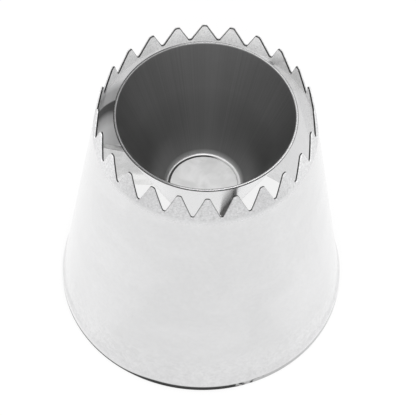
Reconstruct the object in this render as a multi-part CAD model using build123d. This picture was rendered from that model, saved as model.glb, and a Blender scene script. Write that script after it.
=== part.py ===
from build123d import *
import math
import os

# A large ring-cookie piping nozzle in sheet stainless steel, standing on its foot with the mouth up.
# Lengths are millimetres, angles degrees. The origin is the centre of the foot's underside, +Z is the
# nozzle's axis and -Y is its front.

# Outer cone
foot_dia = 52.0            # outside of the band round the foot
mouth_dia = 38.0           # outside of the cone at the tooth tips
height = 51.5              # foot to tooth tips
sheet = 0.5                # thickness of the outer cone's sheet
foot_band = 2.5            # height of the straight band at the foot
foot_step = 0.4            # how far the band stands out from the cone above it
foot_shoulder = 0.6        # height over which the band draws in to the cone
foot_round = 0.3           # rounding of the band's lower outside edge

# Teeth
tooth_count = 24
tooth_depth = 5.2          # tip down to the sharp foot of the V, before its rounding
tooth_turn = 2.4           # turn of the first tooth from +Y
tip_width = 0.8            # width of a tip before its rounding
tip_round = 0.42
valley_round = 0.3

# Inner cup
mouth_gap = 2.4            # clear width between the cup's rim and the outer cone
rim_drop = 1.3             # the rim lies this far below the tooth tips
rim_round = 0.12
cup_depth = 21.3           # rim to the floor inside
cup_floor_dia = 13.5       # floor inside, out to where floor and wall would meet
cup_sheet = 0.5
cup_corner = 0.5           # inside radius between the cup's wall and floor

# Fins that hold the cup in the outer cone
fin_count = 3
fin_turn = 60.0            # first fin, counted from +X
fin_thickness = 1.0
fin_height = 11.9          # at the outer cone
fin_dip = 2.3              # fall of the fins' upper edge from the outer cone to the cup
fin_lift = 0.4             # fins' lower edge above the underside of the cup's floor

# Weld beads along both sides of each fin's two ends
bead_size = 0.6            # how far a bead reaches from the fin's side
bead_setback = 0.6         # a bead stops this far short of the fin's edges

overrun = 1.0              # how far a cutter runs past what it cuts

# Sizes that follow for the outer cone
foot_r = foot_dia / 2
mouth_r = mouth_dia / 2
cone_base_z = foot_band + foot_shoulder
cone_base_r = foot_r - foot_step
cone_slope = (cone_base_r - mouth_r) / (height - cone_base_z)
wall_across = sheet * math.hypot(1, cone_slope)
valley_z = height - tooth_depth


def shell_outside(z):
    """Radius of the outer cone's outside at height z."""
    return cone_base_r - (z - cone_base_z) * cone_slope


def shell_inside(z):
    """Radius of the outer cone's inside at height z."""
    return shell_outside(z) - wall_across


# Sizes that follow for the cup: its wall leans so that outside and inside lie one sheet apart
rim_z = height - rim_drop
rim_r = shell_inside(rim_z) - mouth_gap
cup_floor_z = rim_z - cup_depth
cup_under_z = cup_floor_z - cup_sheet
cup_floor_r = cup_floor_dia / 2
cup_reach = math.hypot(rim_r - cup_floor_r, cup_depth)
cup_lean = math.atan2(rim_r - cup_floor_r, cup_depth) - math.asin(cup_sheet / cup_reach)
cup_slope = math.tan(cup_lean)
cup_across = cup_sheet / math.cos(cup_lean)

# Sizes that follow for the fins
fin_low_z = cup_under_z + fin_lift
fin_top_z = fin_low_z + fin_height
fin_cup_z = fin_top_z - fin_dip


def cup_outside(z):
    """Radius of the cup's outside at height z."""
    return rim_r - (rim_z - z) * cup_slope


def upright_face(points, rounds=()):
    """Face in the XZ plane through (x, z) points, with its corners rounded by (point, radius)."""
    outline = make_face(Polyline([(x, 0, z) for x, z in points], close=True)).face()
    for (x, z), radius in rounds:
        corner = min(outline.vertices(), key=lambda v: math.hypot(v.X - x, v.Z - z))
        outline = outline.fillet_2d(radius, [corner])
    return outline


def turned(shape, angle):
    return Rot(0, 0, angle) * shape


# Outer cone before its teeth are cut, left tall so that the gap cutters also level the tips
def shell_blank():
    top = height + overrun / 2
    foot_edge = (foot_r, 0)
    outline = [
        (foot_r - sheet, 0),
        foot_edge,
        (foot_r, foot_band),
        (cone_base_r, cone_base_z),
        (shell_outside(top), top),
        (shell_inside(top), top),
        (shell_inside(cone_base_z), cone_base_z),
        (foot_r - sheet, foot_band),
    ]
    return revolve(upright_face(outline, [(foot_edge, foot_round)]), Axis.Z)


# Gap between two teeth: a rounded V that widens at the top over the two rounded tips beside it
def tooth_gap():
    half_pitch = (mouth_r - wall_across / 2) * math.tan(math.pi / tooth_count)
    flank_x = half_pitch - tip_width / 2
    past_tip = half_pitch + tip_width / 2
    top = height + overrun
    valley = (0, valley_z)
    tips = [(flank_x, height), (-flank_x, height)]
    outline = [valley, tips[0], (past_tip, height), (past_tip, top)]
    outline += [(-past_tip, top), (-past_tip, height), tips[1]]
    rounds = [(valley, valley_round), (tips[0], tip_round), (tips[1], tip_round)]
    return extrude(upright_face(outline, rounds), foot_r, dir=(0, 1, 0))


# The gaps are cut one after another: cut all at once, they can leave loose crumbs at the tips
def outer_shell():
    shell = shell_blank()
    gap = tooth_gap()
    for k in range(tooth_count):
        shell = shell - turned(gap, tooth_turn + (k + 0.5) * 360 / tooth_count)
    return shell


# Flared cup with a closed flat floor
def inner_cone():
    wall_in = (rim_r - cup_across, rim_z)
    wall_out = (rim_r, rim_z)
    corner_in = (cup_floor_r, cup_floor_z)
    corner_out = (cup_outside(cup_under_z), cup_under_z)
    outline = [(0, cup_under_z), corner_out, wall_out, wall_in, corner_in, (0, cup_floor_z)]
    rounds = [(corner_out, cup_corner + cup_sheet), (wall_out, rim_round)]
    rounds += [(wall_in, rim_round), (corner_in, cup_corner)]
    return revolve(upright_face(outline, rounds), Axis.Z)


# The ring-shaped way for the dough, between the cup's outside and the outer cone's inside
def dough_way():
    low = fin_low_z - overrun
    top = fin_top_z + overrun
    outline = [(cup_outside(low), low), (shell_inside(low), low)]
    outline += [(shell_inside(top), top), (cup_outside(top), top)]
    return revolve(upright_face(outline), Axis.Z)


# Flat fin in the XZ plane, from the cup to the outer cone
def support_fin(way):
    near = cup_outside(fin_cup_z)
    far = shell_inside(fin_top_z)
    rise = fin_dip / (far - near)
    start = cup_outside(fin_low_z) - overrun
    end = shell_inside(fin_low_z) + overrun
    outline = [(start, fin_low_z), (end, fin_low_z)]
    outline += [(end, fin_top_z + (end - far) * rise), (start, fin_cup_z + (start - near) * rise)]
    plate = extrude(upright_face(outline), fin_thickness / 2, dir=(0, 1, 0), both=True)
    return plate & way


# Two beads, one on each side of a fin, along the slanted line where the fin meets a cone
def bead_pair(start, end, way, fin):
    line = Vector(end[0] - start[0], 0, end[1] - start[1])
    foot = Vector(start[0], 0, start[1]) + line.normalized() * bead_setback
    section = Plane(origin=foot, z_dir=line) * Circle(fin_thickness / 2 + bead_size)
    rod = extrude(section, line.length - 2 * bead_setback)
    return (rod & way) - fin


def solids_of(shapes):
    return Compound(children=[solid for shape in shapes for solid in shape.solids()])


way = dough_way()
fin = support_fin(way)
cup_line = [(cup_outside(z), z) for z in (fin_low_z, fin_cup_z)]
shell_line = [(shell_inside(z), z) for z in (fin_low_z, fin_top_z)]
cup_beads = bead_pair(*cup_line, way, fin)
shell_beads = bead_pair(*shell_line, way, fin)
fin_turns = [fin_turn + k * 360 / fin_count for k in range(fin_count)]

nodes = {
    "outer_shell": outer_shell(),
    "inner_cone": inner_cone(),
    "cone_welds": solids_of([turned(cup_beads, angle) for angle in fin_turns]),
    "shell_welds": solids_of([turned(shell_beads, angle) for angle in fin_turns]),
}
for k, angle in enumerate(fin_turns):
    nodes[f"support_fin_{k + 1}"] = turned(fin, angle)

os.makedirs("parts", exist_ok=True)
for name, shape in nodes.items():
    export_step(shape, f"parts/{name}.step")
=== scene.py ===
import math

import bpy
import numpy as np
from bpy.props import FloatProperty, FloatVectorProperty, IntProperty, PointerProperty
from mathutils import Matrix, Vector


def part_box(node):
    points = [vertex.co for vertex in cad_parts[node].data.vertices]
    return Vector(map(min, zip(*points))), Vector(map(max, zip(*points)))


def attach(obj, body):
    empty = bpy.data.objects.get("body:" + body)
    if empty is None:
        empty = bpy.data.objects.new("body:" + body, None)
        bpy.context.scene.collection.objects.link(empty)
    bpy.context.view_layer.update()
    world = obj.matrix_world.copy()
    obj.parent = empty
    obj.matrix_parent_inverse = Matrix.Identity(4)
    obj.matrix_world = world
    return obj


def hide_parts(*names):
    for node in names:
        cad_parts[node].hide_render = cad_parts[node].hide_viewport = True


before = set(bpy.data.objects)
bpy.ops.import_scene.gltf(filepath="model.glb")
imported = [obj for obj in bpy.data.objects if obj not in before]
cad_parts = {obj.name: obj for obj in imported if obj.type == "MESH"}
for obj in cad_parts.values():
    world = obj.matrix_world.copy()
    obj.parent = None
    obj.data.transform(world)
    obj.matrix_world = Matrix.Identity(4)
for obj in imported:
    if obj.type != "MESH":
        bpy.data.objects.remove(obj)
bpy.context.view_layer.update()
SHELL_LOW, SHELL_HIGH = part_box("outer_shell")
CUP_LOW, CUP_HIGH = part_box("inner_cone")
FIN_LOW, FIN_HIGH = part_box("support_fin_1")

bl_info = {
    "name": "Ring piping nozzle",
    "version": (1, 0, 0),
    "blender": (4, 5, 0),
    "location": "3D Viewport > Sidebar > Nozzle",
    "description": "Builds a toothed ring piping nozzle in sheet steel, with its studio",
    "category": "Add Mesh",
}

MM = 0.001
WHITE = (1, 1, 1)


# Sizes and colours


def length(name, text, value):
    return FloatProperty(name=name, description=text, default=value, min=0, precision=5, unit="LENGTH")


def angle(name, text, degrees):
    return FloatProperty(name=name, description=text, default=math.radians(degrees), subtype="ANGLE")


def share(name, text, value):
    return FloatProperty(name=name, description=text, default=value, min=0, max=1, subtype="FACTOR")


def watts(name, text, value):
    return FloatProperty(name=name, description=text, default=value, min=0, unit="POWER")


def steel_colour(name, text, *levels):
    """A colour from its red, green and blue, or from one grey level."""
    colour = levels * (3 // len(levels))
    return FloatVectorProperty(
        name=name, description=text, default=colour, size=3, min=0, max=1, subtype="COLOR"
    )


class NozzleShellSizes(bpy.types.PropertyGroup):
    """Sizes of the toothed outer cone"""

    foot_radius: length("Foot radius", "Outside of the band round the foot", SHELL_HIGH[0])
    height: length("Height", "Foot to tooth tips", SHELL_HIGH[2])
    mouth_radius: length("Mouth radius", "Outside of the cone at the tooth tips", 19 * MM)
    sheet: length("Sheet", "Thickness of the sheet", 0.5 * MM)
    foot_band: length("Foot band", "Height of the straight band at the foot", 2.5 * MM)
    foot_step: length("Foot step", "How far the band stands out from the cone", 0.4 * MM)
    foot_shoulder: length("Foot shoulder", "Height over which the band draws in", 0.6 * MM)
    foot_soft: length("Foot softness", "How far the shoulder's curve runs past its ends", 0.45 * MM)
    foot_round: length("Foot rounding", "Rounding of the band's lower edge", 0.45 * MM)
    # Painted shadow: height of the dark band painted along the foot's lower edge
    foot_shadow: length("Foot stain", "Height of the dark stain along the lower edge", 1.55 * MM)
    edge_round: length("Edge rounding", "Rounding of the cut edges of the teeth", 0.09 * MM)
    teeth: IntProperty(name="Teeth", description="Number of teeth", default=24, min=3)
    tooth_depth: length("Tooth depth", "Tip to the sharp foot of the V", 5.2 * MM)
    tooth_turn: angle("Tooth turn", "Turn of the first tooth from +Y", 2.4)
    tip_width: length("Tip width", "Width of a tip before its rounding", 0.8 * MM)
    tip_round: length("Tip rounding", "Rounding of the tips", 0.42 * MM)
    valley_round: length("Valley rounding", "Rounding at the foot of each V", 0.3 * MM)
    # The patch is a painted dark reflection on the inside of the outer cone
    patch_turn: angle("Patch turn", "Middle of the dark patch, counted from +X", 145.6)
    patch_width: length("Patch width", "Width of the dark patch inside the cone", 17.2 * MM)
    patch_low: length("Patch foot", "Height at which the dark patch starts", 15.2 * MM)
    patch_high: length("Patch top", "Height at which the dark patch ends", 45.2 * MM)
    patch_lean: share("Patch lean", "Rise of the dark patch for each length round the cone", 0.78)
    blast_fade: length("Blasted fade", "Height over which the grain fades out below the valleys", 1.3 * MM)


class NozzleCupSizes(bpy.types.PropertyGroup):
    """Sizes of the cup inside the outer cone"""

    rim_radius: length("Rim radius", "Outside of the rim", CUP_HIGH[0])
    rim_height: length("Rim height", "Height of the rim above the foot", CUP_HIGH[2])
    under_height: length("Underside", "Height of the underside above the foot", CUP_LOW[2])
    floor_radius: length("Floor radius", "Floor inside, out to where it would meet the wall", 6.75 * MM)
    sheet: length("Sheet", "Thickness of the sheet", 0.5 * MM)
    corner: length("Corner", "Inside rounding between wall and floor", 0.4 * MM)
    under_corner: length("Lower corner", "Outside rounding between wall and floor", 1.0 * MM)
    rim_round: length("Rim rounding", "Rounding of the rim's edges", 0.12 * MM)
    # The dark line at the rim is a painted dark reflection
    rim_line: length("Rim line", "How far the dark line at the rim runs down its outside", 0.25 * MM)
    disc_radius: length("Disc radius", "Pressed flat disc in the middle of the floor", 6.05 * MM)
    disc_rise: length("Disc rise", "How far the disc stands above the crease round it", 0.1 * MM)
    # Painted reflection: height of the lighter ring on the wall round the floor
    bright_foot: length("Bright foot", "How far up the wall a brighter ring runs round the floor", 1.1 * MM)


class NozzleFinSizes(bpy.types.PropertyGroup):
    """Sizes of the fins and of their weld beads"""

    fins: IntProperty(name="Fins", description="Number of fins", default=3, min=1)
    turn: angle("Turn", "First fin, counted from +X", 60)
    low: length("Lower edge", "Height of the lower edge above the foot", FIN_LOW[2])
    high: length("Upper edge", "Height of the upper edge at the outer cone", FIN_HIGH[2])
    dip: length("Dip", "Fall of the upper edge from the outer cone to the cup", 2.3 * MM)
    thickness: length("Thickness", "Thickness of a fin", 1.0 * MM)
    edge_round: length("Edge rounding", "Rounding of the long edges", 0.14 * MM)
    bead_size: length("Bead size", "How far a bead reaches from the fin's side", 0.6 * MM)
    bead_setback: length("Bead setback", "How far short of the fin's edges a bead stops", 0.6 * MM)
    # Painted shade on the fins: where it starts to fade and where it is gone
    tint_start: length("Tint start", "Distance from the cup where the heat tint starts to fade", 2.0 * MM)
    tint_end: length("Tint end", "Distance from the cup where the heat tint is gone", 5.0 * MM)
    ripple_pitch: length("Ripple pitch", "Distance from ripple to ripple along a bead", 0.45 * MM)


class NozzleFinishes(bpy.types.PropertyGroup):
    """Colours and roughness of the steel"""

    satin: steel_colour("Satin steel", "Outside of the outer cone", 0.73, 0.73, 0.735)
    blasted: steel_colour("Blasted steel", "Grain on the toothed band", 0.7, 0.7, 0.705)
    # Painted shade: a darker copy of the blasted grain for the front teeth
    blasted_ahead: steel_colour("Blasted ahead", "Greyer grain on the front teeth", 0.48, 0.48, 0.485)
    # Painted light: a lighter copy of the blasted grain for the inside of the teeth
    blasted_inside: steel_colour("Blasted inside", "Lighter grain on the inside of the teeth", 0.97)
    polished: steel_colour("Polished steel", "Outside of the cup", 0.91, 0.91, 0.915)
    disc: steel_colour("Disc steel", "Flat floor of the cup", 0.63)
    # Painted dark: colour of the painted shade on the fins and of the painted dark reflection inside the
    # outer cone
    tint: steel_colour("Heat tint", "Dark tint left by welding", 0.025)
    arris: steel_colour("Arris", "Inner edge of the teeth's cut edges", 0.02)
    # Painted shadow: colour of the dark band along the foot's lower edge
    stain: steel_colour("Stain", "Stain along the lower edge of the foot", 0.03)
    # Painted reflection: colour of the lighter ring on the wall round the floor
    bright_foot: steel_colour("Bright foot", "Ring on the cup's wall round its floor", 0.62)
    # Painted shade: the rim's top is grey at the left
    rim_left: steel_colour("Rim at the left", "Top of the cup's rim at the left", 0.22)
    # Painted reflection: colour of the dark line outside the rim
    dark_line: steel_colour("Dark line", "Line outside the cup's rim", 0.04)
    # Painted shade: colour of the crease round the disc
    crease: steel_colour("Crease", "Crease round the disc in the cup's floor", 0.05)
    # Lighter tone where the painted shade in the crease and the painted dark reflection below the rim fade
    # out at the right
    worn: steel_colour("Worn steel", "Dark line and crease where they are worn", 0.5)
    plain: steel_colour("Plain steel", "Mill finish of the fins", 0.9, 0.9, 0.895)
    weld: steel_colour("Weld metal", "Weld beads", 0.06)
    weld_patches: steel_colour("Weld patches", "Paler patches on the weld beads", 0.12, 0.115, 0.11)
    # Partly painted shade: the wall inside the cup is darker than its outside
    drawn: steel_colour("Drawn steel", "Wall inside the cup, darker than its outside", 0.265)
    satin_roughness: share("Satin roughness", "Roughness of the outer cone", 0.2)
    blasted_roughness: share("Blasted roughness", "Roughness of the toothed band", 0.55)
    blasted_scatter: share("Blasted scatter", "Share of the blasted band's light that scatters evenly", 0.85)
    satin_film: share("Satin film", "Weight of the buffed film that brightens the cone's outline", 0.7)
    polished_roughness: share("Polished roughness", "Roughness of the cup's outside", 0.2)
    drawn_roughness: share("Drawn roughness", "Roughness of the wall inside the cup", 0.43)
    disc_roughness: share("Disc roughness", "Roughness of the cup's floor", 0.5)


class NozzleStudio(bpy.types.PropertyGroup):
    """Floor, light and camera"""

    floor: steel_colour("Floor", "Colour of the floor", 0.95)
    floor_glow: share("Floor glow", "Share of plain white that camera and reflections see in the floor", 0.85)
    softbox: watts("Softbox", "Power of the soft light above", 6.0)
    front_box: watts("Front softbox", "Power of the soft light in front", 5.0)
    camera_rise: angle("Camera rise", "Elevation of the camera", 55.733)
    camera_roll: angle("Camera roll", "Turn of the camera about its own axis", 1.926)
    camera_distance: length("Camera distance", "Distance from the camera to its aim", 526.4 * MM)
    lens: FloatProperty(name="Lens", description="Focal length in millimetres", default=249.96, min=1)


# Meshes


def grid_faces(rows, columns, close_rows):
    """Quads over rows x columns points whose columns close on themselves, and whose rows do too if asked."""
    row = np.arange(rows if close_rows else rows - 1)[:, None]
    column = np.arange(columns)[None, :]
    after_row = (row + 1) % rows
    after_column = (column + 1) % columns
    corners = [row * columns + column, row * columns + after_column]
    corners += [after_row * columns + after_column, after_row * columns + column]
    return np.stack(np.broadcast_arrays(*corners), axis=-1).reshape(-1, 4)


def mesh_from(name, points, faces, sharp_degrees=35):
    """A smooth mesh object from points and faces, with its crisp edges marked by their angle."""
    mesh = bpy.data.meshes.new(name)
    mesh.from_pydata(points.reshape(-1, 3).tolist(), [], faces)
    mesh.update()
    mesh.shade_smooth()
    mesh.set_sharp_from_angle(angle=math.radians(sharp_degrees))
    piece = bpy.data.objects.new(name, mesh)
    bpy.context.scene.collection.objects.link(piece)
    return piece


def capped_faces(rows, columns, first):
    """Faces of an open grid whose two end rows are closed by fans to two pole points that follow the grid."""
    quads = grid_faces(rows, columns, False) + first
    low_pole = first + rows * columns
    column = np.arange(columns)
    after = (column + 1) % columns
    last_row = first + (rows - 1) * columns
    low = np.stack([after + first, column + first, np.full(columns, low_pole)], axis=-1)
    high = np.stack([column + last_row, after + last_row, np.full(columns, low_pole + 1)], axis=-1)
    return quads.tolist() + low.tolist() + high.tolist()


def point_attribute(piece, name, values):
    """Stores one number for each point of the mesh, for its material to read."""
    data = piece.data.attributes.new(name, "FLOAT", "POINT")
    data.data.foreach_set("value", np.asarray(values, dtype=np.float32).ravel())


def rounded_profile(corners, steps=7):
    """Points (radius, height) of an outline whose corners carry a rounding, and each point's corner number.

    Each corner is (radius, height, rounding), and stays a point without one. An arc's ends lie on the two
    sides, at the rounding over the tangent of half the corner's angle. Its centre lies on the bisector.
    """
    points = []
    owners = []
    for k, (x, z, rounding) in enumerate(corners):
        p = np.array([x, z])
        if rounding == 0:
            points.append(p[None, :])
            owners.append([k])
            continue
        a = np.array(corners[k - 1][:2]) - p
        b = np.array(corners[k + 1][:2]) - p
        a /= np.linalg.norm(a)
        b /= np.linalg.norm(b)
        half = math.acos(np.clip(a @ b, -1, 1)) / 2
        centre = p + (a + b) / np.linalg.norm(a + b) * rounding / math.sin(half)
        start = p + a * rounding / math.tan(half)
        end = p + b * rounding / math.tan(half)
        first = math.atan2(*(start - centre)[::-1])
        sweep = math.atan2(*(end - centre)[::-1]) - first
        sweep = (sweep + math.pi) % (2 * math.pi) - math.pi
        turn = first + sweep * np.linspace(0, 1, steps)
        points.append(centre + rounding * np.stack([np.cos(turn), np.sin(turn)], axis=-1))
        owners.append([k] * steps)
    return np.concatenate(points), np.concatenate(owners)


# The nozzle's lines, shared by its pieces


class Lines:
    """The straight lines of the two cones, as radius for a height."""

    def __init__(self, scene):
        s = scene.nozzle_shell
        c = scene.nozzle_cup
        self.base_z = s.foot_band + s.foot_shoulder
        self.base_r = s.foot_radius - s.foot_step
        self.slope = (self.base_r - s.mouth_radius) / (s.height - self.base_z)
        self.across = s.sheet * math.hypot(1, self.slope)
        self.floor_z = c.under_height + c.sheet
        depth = c.rim_height - self.floor_z
        reach = math.hypot(c.rim_radius - c.floor_radius, depth)
        self.lean = math.atan2(c.rim_radius - c.floor_radius, depth) - math.asin(c.sheet / reach)
        self.rim_r = c.rim_radius
        self.rim_z = c.rim_height

    def shell_outside(self, z):
        """Radius of the outer cone's outside."""
        return self.base_r - (z - self.base_z) * self.slope

    def shell_inside(self, z):
        """Radius of the outer cone's inside."""
        return self.shell_outside(z) - self.across

    def cup_outside(self, z):
        """Radius of the cup's outside."""
        return self.rim_r - (self.rim_z - z) * math.tan(self.lean)


def tooth_turns(s, half_pitch):
    """Steepness of a flank, then distances from the gap's middle: the valley's end, the tip's start and end.

    The steepness is the tooth's depth over half the gap's width at the tips. The valley's arc ends at its
    rounding times the sine of the flank's angle. The tip's arc runs on both sides of the corner as far as its
    rounding times the tangent of half that angle.
    """
    flank_x = half_pitch - s.tip_width / 2
    steep = s.tooth_depth / flank_x
    lean = math.hypot(1, steep)
    cut = s.tip_round * math.tan(math.atan(steep) / 2)
    return steep, s.valley_round * steep / lean, flank_x - cut / lean, flank_x + cut


def tooth_edge(x, s, half_pitch):
    """Height and steepness of the mouth's edge at the distance x from the middle of a gap.

    It is the valley's arc, then the straight flank of the V, then the tip's arc and the level tip.
    """
    steep, valley_end, tip_start, tip_end = tooth_turns(s, half_pitch)
    valley_z = s.height - s.tooth_depth
    valley_centre = valley_z + s.valley_round * math.hypot(1, steep)
    in_valley = np.sqrt(np.maximum(s.valley_round**2 - np.minimum(x, valley_end) ** 2, 0))
    to_tip = np.clip(tip_end - x, 0, tip_end - tip_start)
    in_tip = np.sqrt(np.maximum(s.tip_round**2 - to_tip**2, 0))
    cases = [x < valley_end, x < tip_start, x < tip_end]
    heights = [valley_centre - in_valley, valley_z + steep * x, s.height - s.tip_round + in_tip]
    edge = np.select(cases, heights, s.height)
    rise = np.select(cases, [x / in_valley, np.full_like(x, steep), to_tip / in_tip], 0)
    return edge, rise


def tooth_columns(s, half_pitch):
    """Distances from the middle of a gap, from 0 to half a pitch, close together where the edge is round."""
    _, valley_end, tip_start, tip_end = tooth_turns(s, half_pitch)
    stops = [np.linspace(0, valley_end, 6), np.linspace(valley_end, tip_start, 7)[1:]]
    stops += [tip_end - (tip_end - tip_start) * np.linspace(1, 0, 7)[1:] ** 1.3, np.array([half_pitch])]
    return np.concatenate(stops)


def stacked(rows, columns):
    """Radius and height of rows x columns points, from pairs with one number for each row or point."""
    parts = [[part if part.ndim == 2 else part[:, None] * np.ones(columns) for part in pair] for pair in rows]
    return np.array([np.concatenate(side) for side in zip(*parts)])


class NOZZLE_OT_outer_cone(bpy.types.Operator):
    """Builds the toothed outer cone with its foot band"""

    bl_idname = "nozzle.outer_cone"
    bl_label = "Outer cone"

    def execute(self, context):
        s = context.scene.nozzle_shell
        lines = Lines(context.scene)
        half_pitch = (s.mouth_radius - lines.across / 2) * math.tan(math.pi / s.teeth)

        # One gap's columns, mirrored about its middle and repeated round the cone
        half = tooth_columns(s, half_pitch)
        x = np.concatenate([-half[:0:-1], half[:-1]])
        gaps = np.arange(s.teeth)[:, None] + 0.5
        turn = (gaps + x / half_pitch / 2) * (2 * math.pi / s.teeth)
        turn = turn.ravel() + s.tooth_turn + math.pi / 2
        edge, rise = tooth_edge(np.abs(x), s, half_pitch)
        edge = np.tile(edge, s.teeth)
        drop = s.edge_round * np.tile(np.hypot(1, rise), s.teeth)

        # Foot rounding, shoulder, plain wall, wall that follows the teeth, and their rounded cut edge
        bend = np.linspace(0, math.pi / 2, 6)
        foot_r = s.foot_radius - s.foot_round * (1 - np.sin(bend))
        foot_z = s.foot_round * (1 - np.cos(bend))
        ease = np.linspace(0, 1, 11)
        blend = ease * ease * (3 - 2 * ease)
        shoulder_z = s.foot_band - s.foot_soft + (s.foot_shoulder + 2 * s.foot_soft) * ease
        top_z = shoulder_z[-1]
        below_valleys = 2 * MM
        outer_shoulder = s.foot_radius + (lines.shell_outside(top_z) - s.foot_radius) * blend
        foot_in = s.foot_radius - s.sheet
        inner_shoulder = foot_in + (lines.shell_inside(top_z) - foot_in) * blend
        start_z = s.height - s.tooth_depth - below_valleys
        plain_z = np.linspace(top_z, start_z, 12)[1:]
        climb = np.append(np.linspace(0, 1, 18)[1:-1], [0.985, 1])[:, None]
        tooth_z = start_z + (edge - drop - start_z) * climb
        over = np.linspace(0, math.pi / 2, 4)[1:, None]
        round_in = s.edge_round * (1 - np.cos(over))
        round_z = edge - drop * (1 - np.sin(over))

        # Rows as radius and height, up the outside and then down the inside
        outside = [(foot_r, foot_z), (outer_shoulder, shoulder_z), (lines.shell_outside(plain_z), plain_z)]
        outside += [(lines.shell_outside(tooth_z), tooth_z)]
        outside += [(lines.shell_outside(round_z) - round_in, round_z)]
        inside = [(np.array([foot_in]), np.zeros(1)), (inner_shoulder, shoulder_z)]
        inside += [(lines.shell_inside(plain_z), plain_z), (lines.shell_inside(tooth_z), tooth_z)]
        inside += [(lines.shell_inside(round_z) + round_in, round_z)]
        outside = stacked(outside, len(edge))
        inside = stacked(inside, len(edge))
        radius, height = np.concatenate([outside, inside[:, ::-1]], axis=1)
        points = np.stack([radius * np.cos(turn), radius * np.sin(turn), height], axis=-1)
        faces = grid_faces(*radius.shape, True).tolist()
        piece = mesh_from("toothed_outer_cone", points, faces)

        # 1 on the inner arris of the teeth's cut edge, and 1 on all of the inside
        first = outside.shape[1]
        row = np.arange(len(radius))[:, None] * np.ones(len(edge))
        point_attribute(piece, "arris", (row >= first) & (row < first + len(over)))
        point_attribute(piece, "inside", row >= first)

        piece.data.materials.append(satin_steel(context.scene))
        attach(piece, "root")
        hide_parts("outer_shell")
        return {"FINISHED"}


class NOZZLE_OT_inner_cup(bpy.types.Operator):
    """Builds the flared cup with its closed floor"""

    bl_idname = "nozzle.inner_cup"
    bl_label = "Inner cup"

    def execute(self, context):
        c = context.scene.nozzle_cup
        lines = Lines(context.scene)
        across = c.sheet / math.cos(lines.lean)
        crease_z = lines.floor_z
        disc_z = crease_z + c.disc_rise

        # Outline from the underside's middle, up the outside, over the rim and down to the floor's middle.
        # Each corner has its radius, height, rounding and the zone in which its points lie
        pole = 0.3 * MM
        slope = math.tan(lines.lean)
        rim_in = c.rim_radius - across
        foot_z = crease_z + c.bright_foot
        line_z = c.rim_height - c.rim_line
        corners = [
            (pole, c.under_height, 0, "outside"),
            (lines.cup_outside(c.under_height), c.under_height, c.under_corner, "outside"),
            (lines.cup_outside(line_z), line_z, 0, "outside"),
            # This corner's zone carries the painted dark reflection below the rim
            (c.rim_radius, c.rim_height, c.rim_round, "dark_line"),
            (c.rim_radius - across * 0.4, c.rim_height, 0, "rim"),
            (c.rim_radius - across * 0.6, c.rim_height, 0, "rim"),
            (rim_in, c.rim_height, c.rim_round, "wall"),
            (rim_in - (c.rim_height - foot_z) * slope, foot_z, 0, "wall"),
            # This corner's zone is the ring of painted reflection round the floor
            (rim_in - (c.rim_height - crease_z) * slope, crease_z, c.corner, "bright_foot"),
            (c.disc_radius + c.disc_rise, crease_z, c.disc_rise / 5, "crease"),
            (c.disc_radius, disc_z, c.disc_rise / 2, "disc"),
            (c.disc_radius - 0.15 * MM, disc_z, 0, "disc"),
            (pole, disc_z, 0, "disc"),
        ]
        outline, owner = rounded_profile([corner[:3] for corner in corners])
        zone = np.array([corner[3] for corner in corners])[owner]
        columns = 288
        turn = np.arange(columns) * (2 * math.pi / columns)
        radius = outline[:, :1] * np.ones(columns)
        height = outline[:, 1:] * np.ones(columns)
        points = np.stack([radius * np.cos(turn), radius * np.sin(turn), height], axis=-1).reshape(-1, 3)
        points = np.concatenate([points, [[0, 0, c.under_height], [0, 0, disc_z]]])
        piece = mesh_from("flared_inner_cup", points, capped_faces(len(outline), columns, 0), 50)

        # Masks for the finish: 1 on the rows of a zone. The crease takes in the row before it too
        masks = {name: zone == name for name in ("bright_foot", "disc", "dark_line", "rim", "crease")}
        masks["inside"] = np.isin(zone, ("wall", "bright_foot", "crease", "disc"))
        masks["crease"][:-1] |= zone[1:] == "crease"
        for name, rows in masks.items():
            level = rows[:, None] * np.ones(columns)
            point_attribute(piece, name, np.concatenate([level.ravel(), [rows[0], rows[-1]]]))

        piece.data.materials.append(polished_steel(context.scene))
        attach(piece, "root")
        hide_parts("inner_cone")
        return {"FINISHED"}


def turned(points, turn):
    """Points turned about the nozzle's axis."""
    c, s = math.cos(turn), math.sin(turn)
    return points @ np.array([[c, s, 0], [-s, c, 0], [0, 0, 1]])


def fin_turns(f):
    """Directions of the fins, evenly round the axis."""
    return [f.turn + k * 2 * math.pi / f.fins for k in range(f.fins)]


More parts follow.
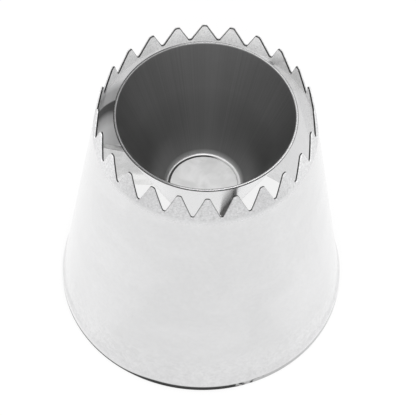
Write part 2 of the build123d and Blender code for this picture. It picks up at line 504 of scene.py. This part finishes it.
class NOZZLE_OT_support_fins(bpy.types.Operator):
    """Builds the flat fins that hold the cup in the outer cone"""

    bl_idname = "nozzle.support_fins"
    bl_label = "Support fins"

    def execute(self, context):
        f = context.scene.nozzle_fins
        lines = Lines(context.scene)
        finish = plain_steel(context.scene)

        # Section: four quarter arcs, one at each corner of a rectangle whose top edge slopes from end to end
        corner = np.array([1, 3, 5, 7]) * math.pi / 4
        arc = np.linspace(-math.pi / 4, math.pi / 4, 8)
        bend = (corner[:, None] + arc).ravel()
        side_y = np.repeat(np.sign(np.cos(corner)), len(arc))
        side_z = np.repeat(np.sign(np.sin(corner)), len(arc))
        along = np.linspace(0, 1, 16)[:, None]
        top_z = f.high - f.dip * (1 - along)
        middle_z = (top_z + f.low) / 2
        half_z = (top_z - f.low) / 2
        y = side_y * (f.thickness / 2 - f.edge_round) + f.edge_round * np.cos(bend)
        z = middle_z + side_z * (half_z - f.edge_round) + f.edge_round * np.sin(bend)
        y = np.broadcast_to(y, z.shape)
        near = np.sqrt(lines.cup_outside(z) ** 2 - y**2)
        far = np.sqrt(lines.shell_inside(z) ** 2 - y**2)
        x = near + (far - near) * along
        points = np.stack([x, y, z], axis=-1).reshape(-1, 3)
        ends = np.array([[x[row].mean(), 0, middle_z[row, 0]] for row in (0, -1)])
        points = np.concatenate([points, ends])
        faces = capped_faces(*z.shape, 0)

        # Painted shade, on each fin's clockwise side only: 1 beside the cup, 0 further out
        tint = np.clip((f.tint_end - (x - near)) / (f.tint_end - f.tint_start), 0, 1) * (y < 0)
        for k, turn in enumerate(fin_turns(f)):
            piece = mesh_from(f"flat_fin_{k + 1}", turned(points, turn), faces)
            point_attribute(piece, "painted_fin_shade", np.append(tint.ravel(), [0, 0]))
            piece.data.materials.append(finish)
            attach(piece, "root")
            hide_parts(f"support_fin_{k + 1}")
        return {"FINISHED"}


def bead_points(f, surface, side, outward, top):
    """Points of one weld bead in the corner between a fin's side and a cone.

    The bead follows the corner's slanted line. Its section is a quarter ellipse, longer along the fin than on
    the cone. Its size swells and falls as the absolute sine of pi times the length over the ripple pitch, and
    tapers as the square root of one less the sixth power of the distance from the bead's middle over half
    its length.
    """
    low = f.low + f.bead_setback
    high = top - f.bead_setback
    along = np.linspace(0, 1, 61)[:, None]
    z = low + (high - low) * along
    taper = np.sqrt(np.clip(1 - np.abs(2 * along - 1) ** 6, 0.01, 1))
    depth = 0.14
    ripple = 1 - depth + depth * np.abs(np.sin(math.pi * (z - low) / f.ripple_pitch))
    size = f.bead_size * taper * ripple
    bend = np.linspace(0, math.pi / 2, 9)
    out = np.concatenate([[0], np.cos(bend)])
    away = np.concatenate([[0], np.sin(bend)])
    y = f.thickness / 2 + size * out
    longer = 1.3
    x = np.sqrt(surface(z) ** 2 - y**2) + outward * longer * size * away
    points = np.stack([x, side * y, z + 0 * y], axis=-1).reshape(-1, 3)
    ends = points.reshape(len(along), -1, 3)[[0, -1]].mean(axis=1)
    return np.concatenate([points, ends]), (len(along), len(out))


class NOZZLE_OT_weld_beads(bpy.types.Operator):
    """Builds the rippled weld beads along the ends of the fins"""

    bl_idname = "nozzle.weld_beads"
    bl_label = "Weld beads"

    def execute(self, context):
        f = context.scene.nozzle_fins
        lines = Lines(context.scene)
        finish = weld_metal(context.scene)
        groups = [("cup_weld_beads", "cone_welds", lines.cup_outside, 1, f.high - f.dip)]
        groups += [("shell_weld_beads", "shell_welds", lines.shell_inside, -1, f.high)]
        for name, node, surface, outward, top in groups:
            points = []
            faces = []
            for turn in fin_turns(f):
                for side in (1, -1):
                    bead, shape = bead_points(f, surface, side, outward, top)
                    ring = capped_faces(*shape, sum(len(p) for p in points))
                    if side * outward > 0:
                        ring = [face[::-1] for face in ring]
                    faces += ring
                    points.append(turned(bead, turn))
            piece = mesh_from(name, np.concatenate(points), faces, 60)
            piece.data.materials.append(finish)
            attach(piece, "root")
            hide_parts(node)
        return {"FINISHED"}


# Finishes


def feed(tree, node, values):
    """Sets a node's inputs, by name or number, to numbers, colours or other nodes' outputs."""
    for key, value in values.items():
        slot = node.inputs[key]
        if isinstance(value, bpy.types.NodeSocket):
            tree.links.new(value, slot)
        else:
            slot.default_value = (*value, 1) if slot.type == "RGBA" else value


def add(tree, kind, values=None, **settings):
    """A node with its settings and its inputs."""
    node = tree.nodes.new(kind)
    for key, value in settings.items():
        setattr(node, key, value)
    feed(tree, node, values or {})
    return node


def coordinates(tree, kind="Object"):
    """The x, y and z outputs of a texture coordinate."""
    place = add(tree, "ShaderNodeTexCoord").outputs[kind]
    return add(tree, "ShaderNodeSeparateXYZ", {0: place}).outputs


def joined(tree, x, y, z):
    """A place from its x, y and z. Returns its output."""
    return add(tree, "ShaderNodeCombineXYZ", {0: x, 1: y, 2: z}).outputs[0]


def stored(tree, name):
    """The output of a point attribute."""
    return add(tree, "ShaderNodeAttribute", attribute_name=name).outputs["Fac"]


def noise(tree, **values):
    """A noise texture. Returns its output."""
    return add(tree, "ShaderNodeTexNoise", values).outputs[0]


def sums(tree, operation, *terms):
    """A Math node whose terms are numbers or other nodes' outputs. Returns its output."""
    return add(tree, "ShaderNodeMath", dict(enumerate(terms)), operation=operation).outputs[0]


def product(tree, *terms):
    """All the terms multiplied together. Returns its output."""
    total = terms[0]
    for term in terms[1:]:
        total = sums(tree, "MULTIPLY", total, term)
    return total


def mapped(tree, value, low, high, to_low, to_high, smooth=False):
    """A Map Range node on a value. Returns its output."""
    values = {0: value, 1: low, 2: high, 3: to_low, 4: to_high}
    kind = "SMOOTHSTEP" if smooth else "LINEAR"
    return add(tree, "ShaderNodeMapRange", values, interpolation_type=kind).outputs[0]


def fade(tree, place, start, end, low=0.0, high=1.0):
    """A smooth change from low to high while a place runs from start to end, in millimetres."""
    return mapped(tree, place, start * MM, end * MM, low, high, True)


def ramped(tree, value, stops):
    """A ramp of grey levels at their positions from 0 to 1. Returns its colour output."""
    node = add(tree, "ShaderNodeValToRGB", {0: value})
    for k, (position, level) in enumerate(stops):
        stop = node.color_ramp.elements[k] if k < 2 else node.color_ramp.elements.new(position)
        stop.position = position
        stop.color = (level, level, level, 1)
    return node.outputs[0]


def mixed(tree, factor, first, second):
    """A mix of two colours, each a constant or another node's output. Returns its output."""
    return add(tree, "ShaderNodeMix", {0: factor, 6: first, 7: second}, data_type="RGBA").outputs[2]


def blended(tree, factor, first, second):
    """A mix of two values, each a number or another node's output. Returns its output."""
    return add(tree, "ShaderNodeMix", {0: factor, 2: first, 3: second}, data_type="FLOAT").outputs[0]


def shaded(tree, colour, factor):
    """A colour times a value. Returns its output."""
    values = {0: 1.0, 6: colour, 7: factor}
    return add(tree, "ShaderNodeMix", values, data_type="RGBA", blend_type="MULTIPLY").outputs[2]


def mixed_light(tree, factor, first, second):
    """A mix of two shader nodes. Returns its output."""
    return add(tree, "ShaderNodeMixShader", {0: factor, 1: first.outputs[0], 2: second.outputs[0]}).outputs[0]


def new_effect(name, inputs, outputs):
    """An empty shader group with inputs (name: default) and outputs. Returns its tree and its two ends."""
    tree = bpy.data.node_groups.new(name, "ShaderNodeTree")
    for key, value in inputs.items():
        tree.interface.new_socket(key, in_out="INPUT", socket_type="NodeSocketFloat").default_value = value
    for key in outputs:
        tree.interface.new_socket(key, in_out="OUTPUT", socket_type="NodeSocketFloat")
    return tree, tree.nodes.new("NodeGroupInput").outputs, tree.nodes.new("NodeGroupOutput")


def use_effect(tree, effect, **values):
    """Places an effect, made on first use, in a material with its own values. Returns its outputs."""
    group = bpy.data.node_groups.get(effect.__name__) or effect()
    return add(tree, "ShaderNodeGroup", values, node_tree=group).outputs


def from_axis(tree, x, y):
    """Distance from the axis: the root of the squares of x and y added up. Returns its output."""
    return sums(tree, "SQRT", sums(tree, "ADD", sums(tree, "POWER", x, 2.0), sums(tree, "POWER", y, 2.0)))


def round_axis(tree, x, y, turn):
    """Distance round the axis from the direction turn: the angle from it times the distance from the axis."""
    around = sums(tree, "SUBTRACT", sums(tree, "ARCTAN2", y, x), turn)
    return product(tree, sums(tree, "WRAP", around, math.pi, -math.pi), from_axis(tree, x, y))


def fine_grain():
    """Fine blasted or rolled grain: two noises, one about twice as fine. Grain is the spot size."""
    tree, given, ends = new_effect("fine_grain", {"Grain": 0.2 * MM}, ["Height", "Tone"])
    place = add(tree, "ShaderNodeTexCoord").outputs["Object"]
    scale = sums(tree, "DIVIDE", 1.0, given["Grain"])
    coarse = noise(tree, Vector=place, Scale=scale, Detail=2.0, Roughness=0.6)
    fine = noise(tree, Vector=place, Scale=product(tree, scale, 2.1), Detail=1.0, Roughness=0.5)
    both = sums(tree, "ADD", product(tree, coarse, 0.65), product(tree, fine, 0.35))
    feed(tree, ends, {"Height": both, "Tone": mapped(tree, both, 0.35, 0.65, 0.0, 1.0)})
    return tree


def spun_lines():
    """Fine lines round the axis, as spinning and buffing leave: noise squeezed along Z."""
    tree, given, ends = new_effect("spun_lines", {"Line": 0.15 * MM, "Length": 20 * MM}, ["Height", "Tone"])
    sizes = given["Length"], given["Length"], given["Line"]
    squeezed = [sums(tree, "DIVIDE", part, size) for part, size in zip(coordinates(tree), sizes)]
    lines = noise(tree, Vector=joined(tree, *squeezed), Scale=1.0, Detail=3.0, Roughness=0.65)
    feed(tree, ends, {"Height": lines, "Tone": mapped(tree, lines, 0.3, 0.7, 0.0, 1.0)})
    return tree


def drawn_streaks():
    """Faint streaks up a drawn cup's wall: noise on the direction from the axis, almost even along Z."""
    tree, given, ends = new_effect("drawn_streaks", {"Streaks": 60.0, "Length": 20 * MM}, ["Tone"])
    x, y, z = coordinates(tree)
    least = 0.5 * MM
    reach = sums(tree, "MAXIMUM", from_axis(tree, x, y), least)
    around = [product(tree, sums(tree, "DIVIDE", part, reach), given["Streaks"]) for part in (x, y)]
    place = joined(tree, *around, sums(tree, "DIVIDE", z, given["Length"]))
    streaks = noise(tree, Vector=place, Scale=0.2, Detail=3.0, Roughness=0.6)
    feed(tree, ends, {"Tone": mapped(tree, streaks, 0.3, 0.7, 0.0, 1.0)})
    return tree


def handling_mottle():
    """Soft clouds from handling, with values from Low to High: a distorted noise. Spot is the cloud size."""
    tree, given, ends = new_effect("handling_mottle", {"Spot": 6 * MM, "Low": 0.0, "High": 1.0}, ["Tone"])
    place = add(tree, "ShaderNodeTexCoord").outputs["Object"]
    scale = sums(tree, "DIVIDE", 1.0, given["Spot"])
    clouds = noise(tree, Vector=place, Scale=scale, Detail=4.0, Roughness=0.55, Distortion=0.8)
    clouds = mapped(tree, clouds, 0.32, 0.68, 0.0, 1.0, True)
    span = sums(tree, "SUBTRACT", given["High"], given["Low"])
    feed(tree, ends, {"Tone": sums(tree, "MULTIPLY_ADD", clouds, span, given["Low"])})
    return tree


def new_finish(name):
    """A material with only a metal shader. Returns the material, its tree and the shader."""
    finish = bpy.data.materials.new(name)
    finish.use_nodes = True
    shader = finish.node_tree.nodes["Principled BSDF"]
    shader.inputs["Metallic"].default_value = 1.0
    return finish, finish.node_tree, shader


def raise_surface(tree, shader, height, distance, strength):
    """Bumps the shader's surface by a height value."""
    bump = add(tree, "ShaderNodeBump", {"Strength": strength, "Distance": distance, "Height": height})
    feed(tree, shader, {"Normal": bump.outputs[0]})


def dark_patch(tree, s, place, inside):
    """Share of the dark patch inside the outer cone, at the back left: a painted dark reflection.

    It leans: counter-clockwise it rises by patch_lean times the distance round the axis. A ramp up its height
    is darkest at about two thirds, and its clockwise side is darker than the other.
    """
    x, y, z = place
    across = round_axis(tree, x, y, s.patch_turn)
    half = s.patch_width / 2
    soft = 1.5 * MM
    beside = mapped(tree, sums(tree, "ABSOLUTE", across), half - soft, half + soft, 1.0, 0.0, True)
    beside = product(tree, beside, mapped(tree, across, -6 * MM, 1 * MM, 1.35, 1.0))
    climb = sums(tree, "MULTIPLY_ADD", across, -s.patch_lean, z)
    climb = mapped(tree, climb, s.patch_low, s.patch_high, 0.0, 1.0)
    stops = [(0.08, 0.0), (0.2, 0.5), (0.45, 0.5), (0.58, 0.7), (0.66, 1.0)]
    stops += [(0.74, 1.0), (0.757, 0.6), (0.87, 0.55), (0.98, 0.1)]
    return product(tree, ramped(tree, climb, stops), product(tree, beside, inside))


def foot_shadow(tree, s, place, inside):
    """Share of the painted shadow along the foot's lower edge: lower at the left, spotty at the right."""
    x, _, z = place
    spots = use_effect(tree, handling_mottle, Spot=1.2 * MM, Low=-0.6, High=0.6)
    patchy = fade(tree, sums(tree, "MULTIPLY_ADD", spots["Tone"], -6 * MM, x), 7, 10, 1.0, 0.4)
    raised = sums(tree, "ADD", z, fade(tree, x, -15, -7, 0.6 * MM, 0.0))
    stain = mapped(tree, raised, s.foot_shadow * 0.75, s.foot_shadow, 1.0, 0.0, True)
    return product(tree, stain, patchy, sums(tree, "SUBTRACT", 1.0, inside))


def satin_steel(scene):
    """Outer cone: pale scuffed satin with spun lines, and a blasted band at the teeth.

    The teeth's inner arris is dark, with a painted dark reflection inside and a painted shadow along the
    foot's lower edge.
    """
    s = scene.nozzle_shell
    looks = scene.nozzle_finishes
    finish, tree, shader = new_finish("satin_steel")
    place = coordinates(tree)
    _, y, z = place
    inside = stored(tree, "inside")
    lines = use_effect(tree, spun_lines, Line=0.22 * MM, Length=30 * MM)
    grain = use_effect(tree, fine_grain, Grain=0.34 * MM)
    mottle = use_effect(tree, handling_mottle, Spot=11 * MM, Low=0.965, High=1.01)
    scuffs = use_effect(tree, handling_mottle, Spot=0.9 * MM, Low=-0.05, High=0.05)

    # Body: scuffs that grow faint above the foot, and painted shade that makes the front a little darker
    spun = mapped(tree, lines["Tone"], 0, 1, 0.994, 1.006)
    scuffed = sums(tree, "MULTIPLY_ADD", scuffs["Tone"], fade(tree, z, 4, 11, 1.0, 0.3), 1.0)
    front = fade(tree, y, -23, -14, 0.925, 1.0)
    body = shaded(tree, looks.satin, product(tree, spun, mottle["Tone"], scuffed, front))

    # Blasted band: its lower border wanders with the grain. The grain is painted greyer on the front teeth as
    # painted shade, and lighter inside the teeth as painted light
    valley_z = s.height - s.tooth_depth
    wander = product(tree, sums(tree, "SUBTRACT", grain["Tone"], 0.5), s.blast_fade / 2)
    border = sums(tree, "ADD", z, wander)
    band = mapped(tree, border, valley_z - s.blast_fade, valley_z + 0.2 * MM, 0.0, 1.0, True)
    blasted = mixed(tree, fade(tree, y, -8, -17), looks.blasted, looks.blasted_ahead)
    blasted = mixed(tree, inside, blasted, looks.blasted_inside)
    blasted = shaded(tree, blasted, mapped(tree, grain["Tone"], 0, 1, 0.78, 1.2))
    colour = mixed(tree, band, body, blasted)

    # Dark marks over both: the arris line, the patch of painted dark reflection and the painted shadow along
    # the foot
    arris = mapped(tree, stored(tree, "arris"), 0.3, 0.5, 0.0, 1.0, True)
    patch = dark_patch(tree, s, place, inside)
    stain = foot_shadow(tree, s, place, inside)
    for mark, tone in ((arris, looks.arris), (patch, looks.tint), (stain, looks.stain)):
        colour = mixed(tree, mark, colour, tone)

    # Grain scatters evenly, less so inside. The buffed film is thin or missing on grain, on the painted dark
    # patch and on the painted foot shadow
    dull = product(tree, band, mapped(tree, inside, 0, 1, 1.0, 0.4))
    bare = sums(tree, "MAXIMUM", sums(tree, "MAXIMUM", dull, patch), stain)
    smooth = mapped(tree, lines["Tone"], 0, 1, looks.satin_roughness - 0.02, looks.satin_roughness + 0.03)
    rough = sums(tree, "MAXIMUM", bare, product(tree, band, 0.6))
    rough = blended(tree, rough, smooth, looks.blasted_roughness)
    metal = mapped(tree, dull, 0, 1, 1.0, 1 - looks.blasted_scatter)
    film = mapped(tree, bare, 0, 1, looks.satin_film, 0.0)
    feed(tree, shader, {"Base Color": colour, "Roughness": rough, "Metallic": metal})
    feed(tree, shader, {"Coat Weight": film, "Coat Roughness": 0.08, "Coat IOR": 1.7})
    height = sums(tree, "ADD", product(tree, lines["Height"], 0.03), product(tree, grain["Height"], band))
    raise_surface(tree, shader, height, 0.06 * MM, 0.6)
    return finish


def polished_steel(scene):
    """Cup: polished outside, a darker wall inside with faint drawn streaks, its darkness partly painted
    shade, and a floor with handling marks.

    The rim's top is grey at the left as painted shade. The painted dark reflection below it and the painted
    shade in the crease round the disc fade out at the right.
    """
    c = scene.nozzle_cup
    looks = scene.nozzle_finishes
    finish, tree, shader = new_finish("polished_steel")
    x, y, z = coordinates(tree)
    from_middle = sums(tree, "ABSOLUTE", x)
    inside = stored(tree, "inside")
    disc = stored(tree, "disc")
    streaks = use_effect(tree, drawn_streaks, Streaks=220.0, Length=30 * MM)
    lines = use_effect(tree, spun_lines, Line=0.3 * MM, Length=20 * MM)
    mottle = use_effect(tree, handling_mottle, Spot=3.5 * MM, Low=0.88, High=1.04)

    # Wall: darker towards the rim and in the middle of its front and back
    streaked = mapped(tree, streaks["Tone"], 0, 1, 0.93, 1.07)
    to_rim = mapped(tree, z, c.rim_height - 8 * MM, c.rim_height - 1 * MM, 1.0, 0.7)
    middle = fade(tree, from_middle, 0, 8, 0.92, 1.03)
    # Wall colour, darkened partly as painted shade, with a lighter ring of painted reflection round the floor
    wall = mixed(tree, stored(tree, "bright_foot"), looks.drawn, looks.bright_foot)
    wall = shaded(tree, wall, product(tree, streaked, to_rim, middle))

    # Outside, painted darker in the middle and lighter at the sides as painted reflection, and rim, then the
    # wall and the disc over them
    colour = shaded(tree, looks.polished, fade(tree, from_middle, 4, 9, 0.9, 1.05))
    # Painted shade: the rim's top turns grey at the left
    rim = mixed(tree, fade(tree, x, -8, -2), looks.rim_left, looks.polished)
    colour = mixed(tree, stored(tree, "rim"), colour, rim)
    colour = mixed(tree, inside, colour, wall)
    colour = mixed(tree, disc, colour, shaded(tree, looks.disc, mottle["Tone"]))

    # Painted shade in the crease round the disc and a painted dark reflection outside the rim, both lighter
    # at the right
    worn = {"crease": fade(tree, x, 0.5, 3.5)}
    worn["dark_line"] = fade(tree, sums(tree, "MULTIPLY_ADD", y, 0.3, x), 6, 13)
    for name, tone in (("crease", looks.crease), ("dark_line", looks.dark_line)):
        mark = mapped(tree, stored(tree, name), 0.3, 0.8, 0.0, 1.0, True)
        colour = mixed(tree, mark, colour, mixed(tree, worn[name], tone, looks.worn))

    drawn = mapped(tree, streaks["Tone"], 0, 1, looks.drawn_roughness - 0.02, looks.drawn_roughness + 0.02)
    rough = blended(tree, inside, looks.polished_roughness, drawn)
    feed(tree, shader, {"Base Color": colour, "Roughness": blended(tree, disc, rough, looks.disc_roughness)})
    raise_surface(tree, shader, lines["Height"], 0.004 * MM, 0.5)
    return finish


def plain_steel(scene):
    """Fins: bright mill finish with fine grain and soft clouds, with painted shade on the clockwise side near
    the cup.

    The edges that face up scatter their light almost evenly.
    """
    looks = scene.nozzle_finishes
    finish, tree, shader = new_finish("plain_steel")
    grain = use_effect(tree, fine_grain, Grain=0.14 * MM)
    mottle = use_effect(tree, handling_mottle, Spot=3 * MM, Low=0.9, High=1.05)
    tone = product(tree, mapped(tree, grain["Tone"], 0, 1, 0.95, 1.05), mottle["Tone"])
    # Painted shade near the cup, in the painted dark colour
    colour = mixed(tree, stored(tree, "painted_fin_shade"), shaded(tree, looks.plain, tone), looks.tint)
    rough = mapped(tree, mottle["Tone"], 0.9, 1.05, 0.12, 0.06)
    metal = mapped(tree, coordinates(tree, "Normal")[2], 0.5, 0.8, 1.0, 0.15)
    feed(tree, shader, {"Base Color": colour, "Roughness": rough, "Metallic": metal})
    raise_surface(tree, shader, grain["Height"], 0.002 * MM, 0.5)
    return finish


def weld_metal(scene):
    """Weld beads: dark as welded, with paler and rougher patches, and bright grey towards the back."""
    looks = scene.nozzle_finishes
    finish, tree, shader = new_finish("weld_metal")
    grain = use_effect(tree, fine_grain, Grain=0.1 * MM)
    mottle = use_effect(tree, handling_mottle, Spot=1.2 * MM, Low=0.0, High=1.0)
    colour = mixed(tree, mottle["Tone"], looks.weld, looks.weld_patches)
    colour = mixed(tree, fade(tree, coordinates(tree)[1], 1, 4), colour, looks.plain)
    colour = shaded(tree, colour, mapped(tree, grain["Tone"], 0, 1, 0.88, 1.1))
    feed(tree, shader, {"Base Color": colour, "Roughness": mapped(tree, mottle["Tone"], 0, 1, 0.3, 0.45)})
    raise_surface(tree, shader, grain["Height"], 0.02 * MM, 0.6)
    return finish


# Studio


def studio_floor(studio):
    """A large floor: diffuse white that keeps the nozzle's shadow, and plain white for camera and gloss."""
    reach = 4.0
    drop = 0.02 * MM
    corners = (-reach, -reach), (reach, -reach), (reach, reach), (-reach, reach)
    floor = mesh_from("studio_floor", np.array([[x, y, -drop] for x, y in corners]), [[0, 1, 2, 3]])
    finish = bpy.data.materials.new("studio_floor")
    finish.use_nodes = True
    tree = finish.node_tree
    tree.nodes.clear()
    matte = add(tree, "ShaderNodeBsdfDiffuse", {0: studio.floor})
    white = add(tree, "ShaderNodeEmission", {0: WHITE, 1: 1.0})
    rays = add(tree, "ShaderNodeLightPath").outputs
    seen = sums(tree, "MAXIMUM", rays["Is Camera Ray"], rays["Is Glossy Ray"])
    seen = sums(tree, "MAXIMUM", seen, rays["Is Transmission Ray"])
    surface = mixed_light(tree, product(tree, seen, studio.floor_glow), matte, white)
    add(tree, "ShaderNodeOutputMaterial", {0: surface})
    finish.cycles.emission_sampling = "NONE"
    floor.data.materials.append(finish)


def studio_world():
    """Soft light all round. White to the camera.

    Behind the nozzle it is pale low down, with a darker belt under a bright ceiling. In front it is white.
    """
    world = bpy.data.worlds.new("studio")
    bpy.context.scene.world = world
    world.use_nodes = True
    tree = world.node_tree
    tree.nodes.clear()
    _, y, z = coordinates(tree, "Generated")
    stops = [(0.0, 0.9), (0.26, 0.9), (0.46, 0.3), (0.68, 0.26), (0.9, 0.85), (1.0, 1.0)]
    front = mapped(tree, y, -0.6, 0.2, 1.0, 0.0, True)
    soft = add(tree, "ShaderNodeBackground", {0: mixed(tree, front, ramped(tree, z, stops), WHITE)})
    plain = add(tree, "ShaderNodeBackground", {0: WHITE})
    camera = add(tree, "ShaderNodeLightPath").outputs["Is Camera Ray"]
    add(tree, "ShaderNodeOutputWorld", {0: mixed_light(tree, camera, soft, plain)})


def softbox(name, place, aim, size, power):
    """A square soft light that looks at a point."""
    light = bpy.data.lights.new(name, "AREA")
    light.shape = "SQUARE"
    light.size = size
    light.energy = power
    lamp = bpy.data.objects.new(name, light)
    facing = (Vector(aim) - Vector(place)).to_track_quat("-Z", "Y")
    lamp.matrix_world = Matrix.Translation(place) @ facing.to_matrix().to_4x4()
    bpy.context.scene.collection.objects.link(lamp)


class NOZZLE_OT_studio(bpy.types.Operator):
    """Builds the floor, the light and the camera"""

    bl_idname = "nozzle.studio"
    bl_label = "Studio"

    def execute(self, context):
        studio = context.scene.nozzle_studio
        studio_floor(studio)
        studio_world()
        softbox("ceiling_softbox", place=(0, 0.2, 1.3), aim=(0, 0, 0.02), size=1.0, power=studio.softbox)
        softbox("front_softbox", place=(0, -0.85, 0.85), aim=(0, 0, 0.05), size=0.5, power=studio.front_box)
        aim = Vector((0.892, 0, 21.473)) * MM
        rise = studio.camera_rise
        optics = bpy.data.cameras.new("camera")
        optics.lens = studio.lens
        optics.sensor_width = 36
        optics.clip_start = 0.01
        optics.clip_end = 50
        camera = bpy.data.objects.new("camera", optics)
        place = aim + studio.camera_distance * Vector((0, -math.cos(rise), math.sin(rise)))
        tilt = Matrix.Rotation(math.pi / 2 - rise, 4, "X")
        camera.matrix_world = Matrix.Translation(place) @ tilt @ Matrix.Rotation(studio.camera_roll, 4, "Z")
        context.scene.collection.objects.link(camera)
        context.scene.camera = camera
        context.scene.view_settings.view_transform = "Standard"
        return {"FINISHED"}


class NOZZLE_PT_sidebar(bpy.types.Panel):
    """Lists the steps that build the nozzle"""

    bl_idname = "NOZZLE_PT_sidebar"
    bl_label = "Ring piping nozzle"
    bl_space_type = "VIEW_3D"
    bl_region_type = "UI"
    bl_category = "Nozzle"

    def draw(self, context):
        layout = self.layout
        for step in STEPS:
            layout.operator(step.bl_idname)
        for group in SIZE_GROUPS:
            box = layout.box()
            box.label(text=group.__doc__)
            for key in group.__annotations__:
                box.prop(getattr(context.scene, SIZE_GROUPS[group]), key)


SIZE_GROUPS = {
    NozzleShellSizes: "nozzle_shell",
    NozzleCupSizes: "nozzle_cup",
    NozzleFinSizes: "nozzle_fins",
    NozzleFinishes: "nozzle_finishes",
    NozzleStudio: "nozzle_studio",
}
STEPS = [
    NOZZLE_OT_outer_cone,
    NOZZLE_OT_inner_cup,
    NOZZLE_OT_support_fins,
    NOZZLE_OT_weld_beads,
    NOZZLE_OT_studio,
]
CLASSES = [*SIZE_GROUPS, *STEPS, NOZZLE_PT_sidebar]


def register():
    for item in CLASSES:
        bpy.utils.register_class(item)
    for group, name in SIZE_GROUPS.items():
        setattr(bpy.types.Scene, name, PointerProperty(type=group))


def unregister():
    for name in SIZE_GROUPS.values():
        delattr(bpy.types.Scene, name)
    for item in reversed(CLASSES):
        bpy.utils.unregister_class(item)


def main():
    register()
    bpy.ops.nozzle.outer_cone()
    bpy.ops.nozzle.inner_cup()
    bpy.ops.nozzle.support_fins()
    bpy.ops.nozzle.weld_beads()
    bpy.ops.nozzle.studio()


if __name__ == "__main__":
    main()
